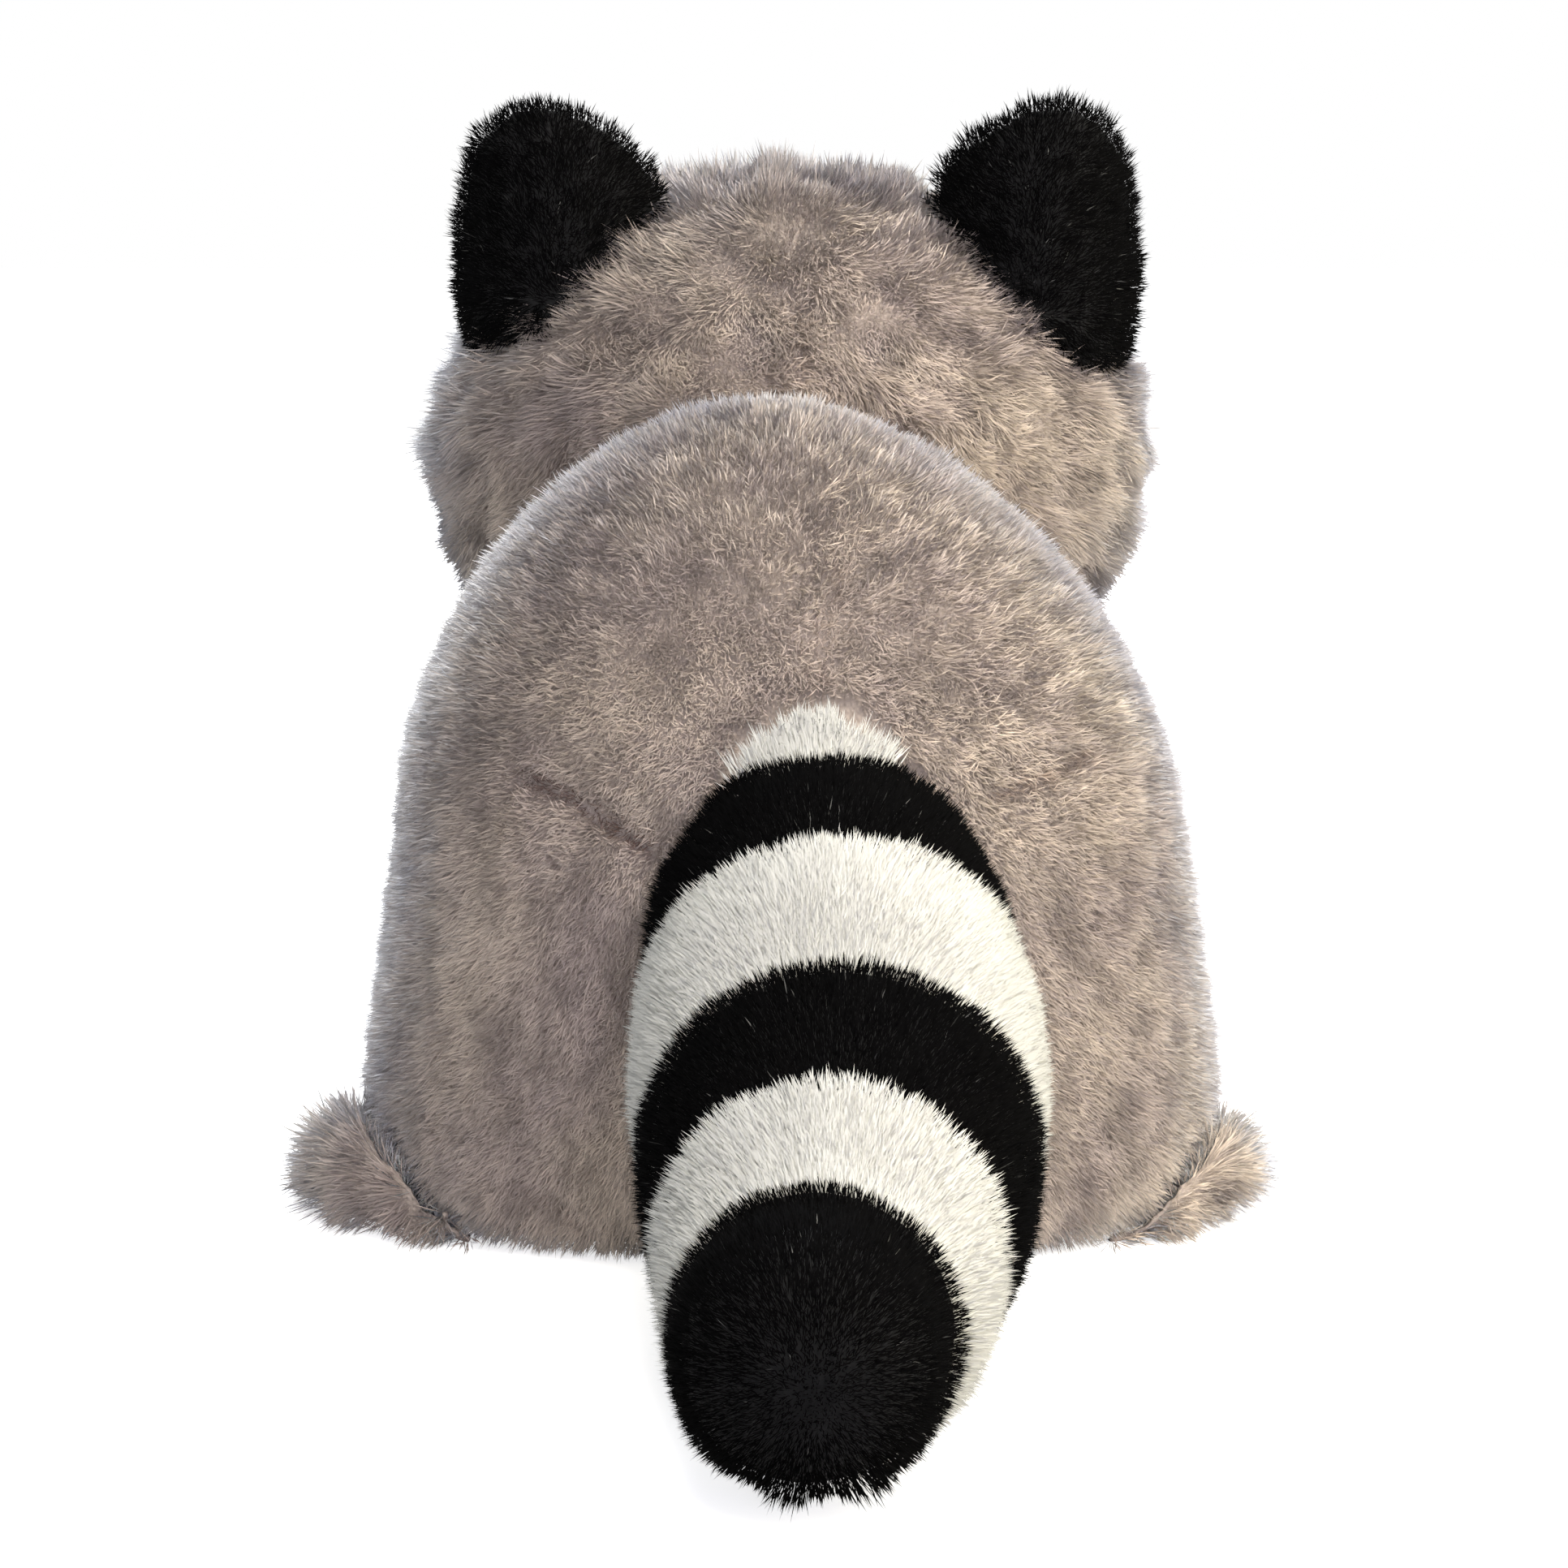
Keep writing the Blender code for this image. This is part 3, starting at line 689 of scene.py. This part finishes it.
def grow(
    skin, pile, comb, seed, neighbours=(), seams=(),
    share=None, zones=(("",), all_in_one), avoid=None, trim=None,
):
    """Grows a pile on a skin and returns its pieces.

    zones holds the pieces' names and a function that numbers the places, share says how dense the pile is,
    avoid says which strands are left out, and trim says how long they are for their place.
    """
    rng = np.random.default_rng(seed)

    def cover(centres, normals):
        thick = np.ones(len(centres))
        thick[normals[:, 2] < BELLY_NORMAL] = BELLY_SHARE
        thick[bare_faces(centres + normals * pile.inset, neighbours)] = 0.0
        return thick if share is None else thick * share(centres)

    roots, normals = scatter(skin.data, pile.density, cover, rng)
    shares = np.ones(len(roots)) if share is None else share(roots)
    width = pile.width / np.clip(shares, LEAST_WIDTH_SHARE, 1)[:, None] ** WIDENING
    lay, groove = comb_pile(pile, comb, roots, normals, seams, rng)
    heading = normals * (1 - pile.lean) + lay * pile.lean + rng.normal(size=roots.shape) * pile.spread
    heading = normalised(heading)
    tips = roots + heading * strand_lengths(pile, roots, groove, trim, rng)[:, None]
    tips[:, 2] = np.maximum(tips[:, 2], FLOOR_GAP)
    roots[:, 2] = np.maximum(roots[:, 2], FLOOR_GAP)
    if avoid is not None:
        clear = ~avoid(roots, tips)
        kept = (values[clear] for values in (roots, normals, tips, heading, groove, width))
        roots, normals, tips, heading, groove, width = kept
    corners = strand_corners(roots, tips, heading, normals, width, rng)
    tint = rng.random(len(roots))
    glints = rng.normal(size=roots.shape) * pile.glint
    facing = normalised(normals + glints + heading * FORWARD_FACING)
    names, number = zones
    numbers = number(roots)
    base = skin.name.removesuffix("_skin")
    pieces = []
    for index, word in enumerate(names):
        inside = numbers == index
        name = f"{base}_fur{word}"
        mesh = strand_mesh(name, corners[inside], tint[inside], groove[inside], facing[inside])
        pieces.append(link(bpy.data.objects.new(name, mesh)))
    return pieces


def fanned(lay, sideways):
    """One direction for all points, whose sideways part grows with each point's own place."""
    found = np.tile(lay, (len(sideways), 1))
    found[:, 0] *= sideways
    return found


def body_comb(points, normals):
    """Down the back from the neck, and outwards over the sides."""
    return fanned(BACK_LAY, points[:, 0] / WAIST_HALF)


def head_comb(points, normals):
    """Away from the nose over the face, and down and outwards over the back of the head."""
    aside = (points - np.array(HEAD_CENTRE)) / np.array(HEAD_HALF)
    back = np.clip(aside[:, 1:2] + NAPE_START, 0, 1)
    return face_comb(points, normals) * (1 - back) + fanned(NAPE_LAY, aside[:, 0]) * back


def face_comb(points, normals):
    """Away from the nose."""
    return normalised(points - NOSE_CENTRE)


def ear_comb_for(node):
    """Up and outwards from the foot of an ear."""
    low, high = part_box(node)
    foot = np.array(((low.x + high.x) / 2, (low.y + high.y) / 2, low.z + EAR_FOOT * (high.z - low.z)))
    return lambda points, normals: points - foot


def foot_comb_for(node):
    """Away from a place halfway to the middle of the toy, and a little towards the ground."""
    low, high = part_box(node)
    start = np.array(((low.x + high.x) / 4, (low.y + high.y) / 2, (low.z + high.z) / 2))
    return lambda points, normals: points - start - (0, 0, FOOT_DROP)


def forward_comb(points, normals):
    """Along the forelegs towards the paws."""
    return fanned(LEG_LAY, points[:, 0])


def tail_comb(points, normals):
    """From the tip of the tail towards its root, up over its end and a little outwards to both sides."""
    lay = np.tile(-TAIL_RUN + (0, 0, TAIL_RISE), (len(points), 1))
    lay[:, 0] += (points[:, 0] - centre_of(TAIL_ROOT).x) * TAIL_FAN
    return lay


def looks_of(word, colours, **settings):
    """The backing, the pile and the slot of one kind of plush."""
    backing = backing_material(f"{word}_backing", colours[0])
    fur = fur_material(f"{word}_fur", colours, **settings)
    return backing, fur, f"{word}_fur"


# Only the grey pile gets the groove colour, and with it painted light down the middle, painted shade towards
# +X and painted shade in the seam grooves
GREY = looks_of("grey", GREY_PLUSH, patches=0.48, strands=0.30, sheen=1.0, groove=GROOVE_SHADE_COLOUR)
WHITE = looks_of("white", WHITE_PLUSH, patches=0.03, strands=0.02, sheen=0.1)
BLACK = looks_of("black", BLACK_PLUSH, patches=0.2, strands=0.5, sheen=0.0, shine=0.03, strays=STRAY_COLOUR)
LINING = looks_of("lining", LINING_PLUSH, patches=0.12, strands=0.2)


def keep(piece, material, node=None):
    """Gives a piece its material and hangs it on the root; where it stands for a CAD node, it is shaded
    smooth and the node is hidden.
    """
    piece.data.materials.clear()
    piece.data.materials.append(material)
    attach(piece, "root")
    if node:
        piece.data.shade_smooth()
        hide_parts(node)
    return piece


def plush(node, seed, pile, comb, looks, fill, against=(), seams=(), **more):
    """One stuffed part: its skin, filled, drawn in along its seams and covered with a pile."""

    def at_seams(places, normals):
        return seam_pull(places, normals, seams, SEAM_HOLD)[0] > HELD_PULL

    skin = stuffed_skin([node], pile, at_seams)
    draw_in_seams(skin, seams)
    furs = grow(skin, pile, comb, seed, against, seams, **more)
    backing, fur, slot = looks
    keep(skin, backing, node)
    for piece in furs:
        keep(piece, fur)


def build_body():
    limbs = [f"{word}_{side}" for word in ("hind_foot", "foreleg") for side in SIDES]
    against = ("head", *limbs, "tail_ring_2_black")
    low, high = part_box(TAIL_ROOT)
    low, high = np.array(low) - ROOT_CLEARANCE, np.array(high) + ROOT_CLEARANCE

    def body_zone(points):
        return np.where(points[:, 1] <= 0, 2, points[:, 0] <= 0)

    def thinner_forward(points):
        """All of the pile from the back of the toy to its waist, and less of it from there to the chin."""
        return fade(CHEST_SHARE, 0.5 + points[:, 1] / FADE_REACH)

    def over_tail(roots, tips):
        """The strands that would lie over the root of the tail."""
        hit = ((tips > low) & (tips < high)).all(1)
        for index in np.flatnonzero(hit):
            hit[index] = TREES[TAIL_ROOT].find_nearest(Vector(tips[index]))[3] < ROOT_CLEARANCE
        return hit

    plush(
        "body", 11, BODY_PILE, body_comb, GREY, 0.8, against, seams_on("body", BODY_SEAMS),
        zones=(("_rump_left", "_rump_right", "_chest"), body_zone), share=thinner_forward, avoid=over_tail,
    )


def build_head():
    patches = [TREES[f"{word}_{side}"] for word in ("mask", "brow") for side in SIDES] + [TREES["muzzle"]]

    def head_zone(points):
        return (points[:, 0] <= 0).astype(int)

    def uncovered(centres):
        """Less of the pile over the face, and none of it under the patches there."""
        shown = fade(FACE_SHARE, 0.5 + (centres[:, 1] - HEAD_CENTRE.y) / FADE_REACH)
        for index in np.flatnonzero(centres[:, 1] < HEAD_CENTRE.y):
            place = Vector(centres[index])
            near = min(tree.find_nearest(place)[3] for tree in patches)
            shown[index] *= near > PATCH_CLEARANCE
        return shown

    plush(
        "head", 21, HEAD_PILE, head_comb, GREY, 0.8, ("body", "ear_left", "ear_right"),
        seams_on("head", HEAD_SEAMS), zones=(("_left", "_right"), head_zone), share=uncovered,
    )


def build_ears():
    for number, side in enumerate(SIDES):
        ear, lining = f"ear_{side}", f"ear_lining_{side}"
        plush(ear, 31 + number, EAR_PILE, ear_comb_for(ear), BLACK, 0.3, ("head", lining))
        plush(lining, 36 + number, LINING_PILE, ear_comb_for(lining), LINING, 0.2, ("head", ear))


def muzzle_front(across, up):
    """A point on the front of the muzzle, at a place across and up from its middle."""
    middle = centre_of("muzzle")
    start = Vector((across, middle.y - IN_FRONT, middle.z + up))
    return TREES["muzzle"].ray_cast(start, Vector((0, 1, 0)))[0]


def mouth_points():
    """The stitched mouth: in and down from one side to below the nose, and out again to the other side."""
    other_half = tuple((-across, up) for across, up in reversed(MOUTH_HALF))
    return [muzzle_front(across, up) for across, up in (*MOUTH_HALF, MOUTH_MIDDLE, *other_half)]


def build_face():
    """The muzzle, the mask, the brows and the mouth, with bare rings round the eyes."""
    eyes = [np.array(centre_of(f"eye_{side}")) for side in SIDES]
    mouth = mouth_points()
    mouth_seams = [(np.array(mouth), 1.0)]

    def over_features(roots, tips):
        """The strands that would lie over the nose, the eyes or the mouth."""
        hit = np.linalg.norm((tips - NOSE_CENTRE) / NOSE_CLEARING, axis=1) < 1
        for eye in eyes:
            hit |= np.linalg.norm(tips - eye, axis=1) < EYE_CLEARING
            hit |= np.linalg.norm(roots - eye, axis=1) < EYE_RING
        return hit | (seam_pull(tips, np.zeros_like(tips), mouth_seams, MOUTH_WIDTH)[0] > MOUTH_PULL)

    plush("muzzle", 41, MUZZLE_PILE, face_comb, WHITE, 0.8, ("head",), avoid=over_features)
    kinds = (("mask", BLACK), ("brow", WHITE))
    patches = [(f"{word}_{side}", looks) for side in SIDES for word, looks in kinds]
    for number, (node, looks) in enumerate(patches):
        plush(node, 51 + number, PATCH_PILE, face_comb, looks, 0.1, ("head", "muzzle"), avoid=over_features)
    thread = thread_material("mouth_thread", (0.020, 0.015, 0.014))
    thread_piece("mouth_stitch", mouth, thread)
    thread_piece("mouth_stem", [muzzle_front(0.0, up) for up in STEM_HEIGHTS], thread)


def thread_piece(name, points, material):
    """A line of satin stitch that lies in the pile."""
    curve = bpy.data.curves.new(name, "CURVE")
    curve.dimensions = "3D"
    curve.bevel_depth = THREAD_RADIUS
    curve.bevel_resolution = 3
    curve.use_fill_caps = True
    spline = curve.splines.new("NURBS")
    spline.points.add(len(points) - 1)
    for point, place in zip(spline.points, points):
        point.co = (*(place + Vector((0, -THREAD_RAISE, 0))), 1.0)
    spline.use_endpoint_u = True
    spline.order_u = 3
    spline.resolution_u = 8
    line = link(bpy.data.objects.new(name, curve))
    mesh = bpy.data.meshes.new_from_object(line.evaluated_get(bpy.context.evaluated_depsgraph_get()))
    bpy.data.objects.remove(line)
    piece = link(bpy.data.objects.new(name, mesh))
    mesh.shade_smooth()
    keep(piece, material)


def smooth_ball(name, centre, sizes, shape=None):
    """A finely faceted ball of these half sizes, whose points shape moves."""
    bm = bmesh.new()
    bmesh.ops.create_icosphere(bm, subdivisions=4, radius=1.0)
    for vertex in bm.verts:
        point = vertex.co.copy() if shape is None else shape(vertex.co)
        vertex.co = centre + Vector((point.x * sizes[0], point.y * sizes[1], point.z * sizes[2]))
    mesh = bpy.data.meshes.new(name)
    bm.to_mesh(mesh)
    bm.free()
    return link(bpy.data.objects.new(name, mesh))


def nose_shape(point):
    """A rounded triangle, wide at the top, with a dent for each nostril."""
    across, front, up = NOSTRIL_PLACE
    moved = point.copy()
    moved.x *= 1 + NOSE_FLARE * point.z
    for side in (-1, 1):
        gap = Vector((point.x - side * across, point.y - front, point.z - up)).length
        moved.y += NOSTRIL_SIZE * math.exp(-((gap / NOSTRIL_SIZE) ** 2))
    return moved


def build_nose_and_eyes():
    glossy = plastic_material("eye_plastic", (0.0025, 0.0018, 0.0016), 0.03, 0.07, 900.0, 0.00001, 0.15)
    matt = plastic_material("nose_plastic", (0.006, 0.005, 0.005), 0.22, 0.34, 1400.0, 0.00008, 0.20)
    low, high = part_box("nose")
    sizes = ((high.x - low.x) / 2 / NOSE_WIDENING, NOSE_DEPTH, (high.z - low.z) / 2)
    centre = Vector(((low.x + high.x) / 2, low.y + NOSE_DEPTH, (low.z + high.z) / 2))
    keep(smooth_ball("nose_button", centre, sizes, nose_shape), matt, "nose")
    for side in SIDES:
        low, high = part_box(f"eye_{side}")
        radius = (high.x - low.x) / 2
        depth = radius * EYE_DEPTH
        centre = Vector(((low.x + high.x) / 2, low.y + depth + EYE_SINK, (low.z + high.z) / 2))
        eye = smooth_ball(f"eye_dome_{side}", centre, (radius, depth, radius))
        keep(eye, glossy, f"eye_{side}")


def build_limbs():
    for number, side in enumerate(SIDES):
        foot, leg, paw = f"hind_foot_{side}", f"foreleg_{side}", f"front_paw_{side}"
        plush(foot, 61 + number, FOOT_PILE, foot_comb_for(foot), GREY, 0.6, ("body",))
        plush(leg, 65 + number, LEG_PILE, forward_comb, GREY, 0.7, ("body", "head", paw))
        plush(paw, 69 + number, PAW_PILE, forward_comb, BLACK, 0.7, (leg,))


def seam_plane(near, far):
    """The middle of the seam between two rings of the tail, and the direction across it."""
    places = coordinates(NODES[far].data)
    gaps = np.array([TREES[near].find_nearest(Vector(place))[3] for place in places])
    rim = places[gaps < SEAM_REACH]
    middle = rim.mean(0)
    across = np.linalg.svd(rim - middle)[2][2]
    return middle, across * np.sign(across @ TAIL_RUN)


def ring_core(form, planes, number, name):
    """The stuffed cloth of one ring: the form of the whole tail, cut off at the seams on both sides."""
    bm = bmesh.new()
    bm.from_mesh(form.data)
    for step, inner in ((number - 1, True), (number, False)):
        if 0 <= step < len(planes):
            middle, across = planes[step]
            everything = bm.verts[:] + bm.edges[:] + bm.faces[:]
            cut = bmesh.ops.bisect_plane(
                bm, geom=everything, plane_co=middle, plane_no=across,
                clear_inner=inner, clear_outer=not inner,
            )
            rim = [piece for piece in cut["geom_cut"] if isinstance(piece, bmesh.types.BMEdge)]
            bmesh.ops.edgeloop_fill(bm, edges=rim)
    mesh = bpy.data.meshes.new(name)
    bm.to_mesh(mesh)
    bm.free()
    return link(bpy.data.objects.new(name, mesh))


def build_tail():
    """The rings of the tail, whose piles stand on one smooth form that runs through all of them."""
    rings = sorted(name for name in NODES if name.startswith("tail_"))
    planes = [seam_plane(near, far) for near, far in zip(rings, rings[1:])]
    root_side, tip_back = centre_of(TAIL_ROOT).x, centre_of(TAIL_TIP).y

    def own_ring(points):
        """The number of the ring that each point belongs to: how many seams it lies beyond."""
        return sum(((points - middle) @ across > 0).astype(int) for middle, across in planes)

    def at_seams(points, normals):
        gaps = [np.abs((points - middle) @ across) for middle, across in planes]
        return np.min(gaps, axis=0) < TAIL_PILE.voxel / 2

    def trim(points):
        """Longer pile at the root, shorter on the tip, and tufts at the tip's lower edge."""
        ring = own_ring(points)
        aside = np.clip(np.abs(points[:, 0] - root_side) / ROOT_HALF, 0, 1)
        on_tip = ring == len(planes)
        size = np.where(ring == 0, ROOT_PILE + ROOT_FLARE * aside, np.where(on_tip, TIP_PILE, 1.0))
        low = on_tip & (points[:, 2] < TUFT_HEIGHT) & (points[:, 1] > tip_back)
        for place in TUFT_PLACES:
            size += TUFT_GROWTH * low * np.exp(-(((points[:, 0] - place) / TUFT_REACH) ** 2))
        return size

    def thinner_below(points):
        return fade(UNDER_TAIL_SHARE, points[:, 2] / UNDER_TAIL_HEIGHT)

    form = stuffed_skin(rings, TAIL_PILE, at_seams, TAIL_ROUNDS)
    draw_in_seams(form, ())
    zones = ([f"_{number}" for number in range(len(rings))], own_ring)
    furs = grow(form, TAIL_PILE, tail_comb, 81, ("body",), zones=zones, trim=trim, share=thinner_below)
    for number, (node, fur) in enumerate(zip(rings, furs)):
        backing, material, slot = WHITE if node.endswith("white") else BLACK
        keep(ring_core(form, planes, number, f"{node}_core"), backing, node)
        fur.name = f"{node}_fur"
        keep(fur, material)
    bpy.data.objects.remove(form)


def build_stage():
    """A pale floor that runs back out of view under a white surround."""
    bpy.ops.mesh.primitive_plane_add(size=40.0, location=(0, 0, 0))
    floor = bpy.context.active_object
    floor.name = "floor"
    paper = Material("pale_floor")
    speckle = paper.ramp(paper.noise(40.0, 3.0), ((0.3, even(0.86)), (0.7, even(0.90))))
    place = paper.add("TexCoord").outputs["Object"]
    away = paper.add("VectorMath", {0: place}, operation="LENGTH").outputs["Value"]
    glow = paper.between(away, (0.25, 0.70), (1.0, 1.0))
    seen = paper.add("LightPath").outputs["Is Camera Ray"]
    lift = paper.add("Math", {0: seen, 1: glow}, operation="MULTIPLY").outputs["Value"]
    made = paper.finish(Base_Color=speckle, Roughness=0.9, Emission_Color=even(1.0), Emission_Strength=lift)
    floor.data.materials.append(made)


def add_lamp(name, place, size, power, colour):
    lamp = bpy.data.lights.new(name, "AREA")
    lamp.shape = "DISK"
    lamp.size = size
    lamp.energy = power
    lamp.color = colour
    thing = link(bpy.data.objects.new(name, lamp))
    thing.location = place
    thing.rotation_euler = (LAMP_AIM - Vector(place)).to_track_quat("-Z", "Y").to_euler()


def build_light():
    """Dim light from all round, which the camera and reflections see as white, and the lamps."""
    world = bpy.data.worlds.new("studio")
    bpy.context.scene.world = world
    world.use_nodes = True
    tree = world.node_tree
    dim = tree.nodes["Background"]
    dim.inputs["Color"].default_value = (0.93, 0.96, 1.0, 1.0)
    dim.inputs["Strength"].default_value = 0.18
    white = tree.nodes.new("ShaderNodeBackground")
    white.inputs["Color"].default_value = (1.0, 1.0, 1.0, 1.0)
    seen = tree.nodes.new("ShaderNodeLightPath")
    either = tree.nodes.new("ShaderNodeMath")
    either.operation = "MAXIMUM"
    choice = tree.nodes.new("ShaderNodeMixShader")
    links = (
        (seen.outputs["Is Camera Ray"], either.inputs[0]),
        (seen.outputs["Is Glossy Ray"], either.inputs[1]),
        (either.outputs["Value"], choice.inputs[0]),
        (dim.outputs["Background"], choice.inputs[1]),
        (white.outputs["Background"], choice.inputs[2]),
        (choice.outputs["Shader"], tree.nodes["World Output"].inputs["Surface"]),
    )
    for start, end in links:
        tree.links.new(start, end)
    for lamp in LAMPS:
        add_lamp(*lamp)


def build_camera():
    lens = bpy.data.cameras.new("camera")
    lens.sensor_width = SENSOR_WIDTH * 1000
    lens.lens = CAMERA_LENS * 1000
    lens.clip_start = 0.01
    thing = link(bpy.data.objects.new("camera", lens))
    thing.location = CAMERA_PLACE
    thing.rotation_euler = CAMERA_TURN
    bpy.context.scene.camera = thing


bpy.context.scene.view_settings.view_transform = "Standard"
build_camera()
build_light()
build_stage()
build_body()
build_head()
build_ears()
build_face()
build_nose_and_eyes()
build_limbs()
build_tail()
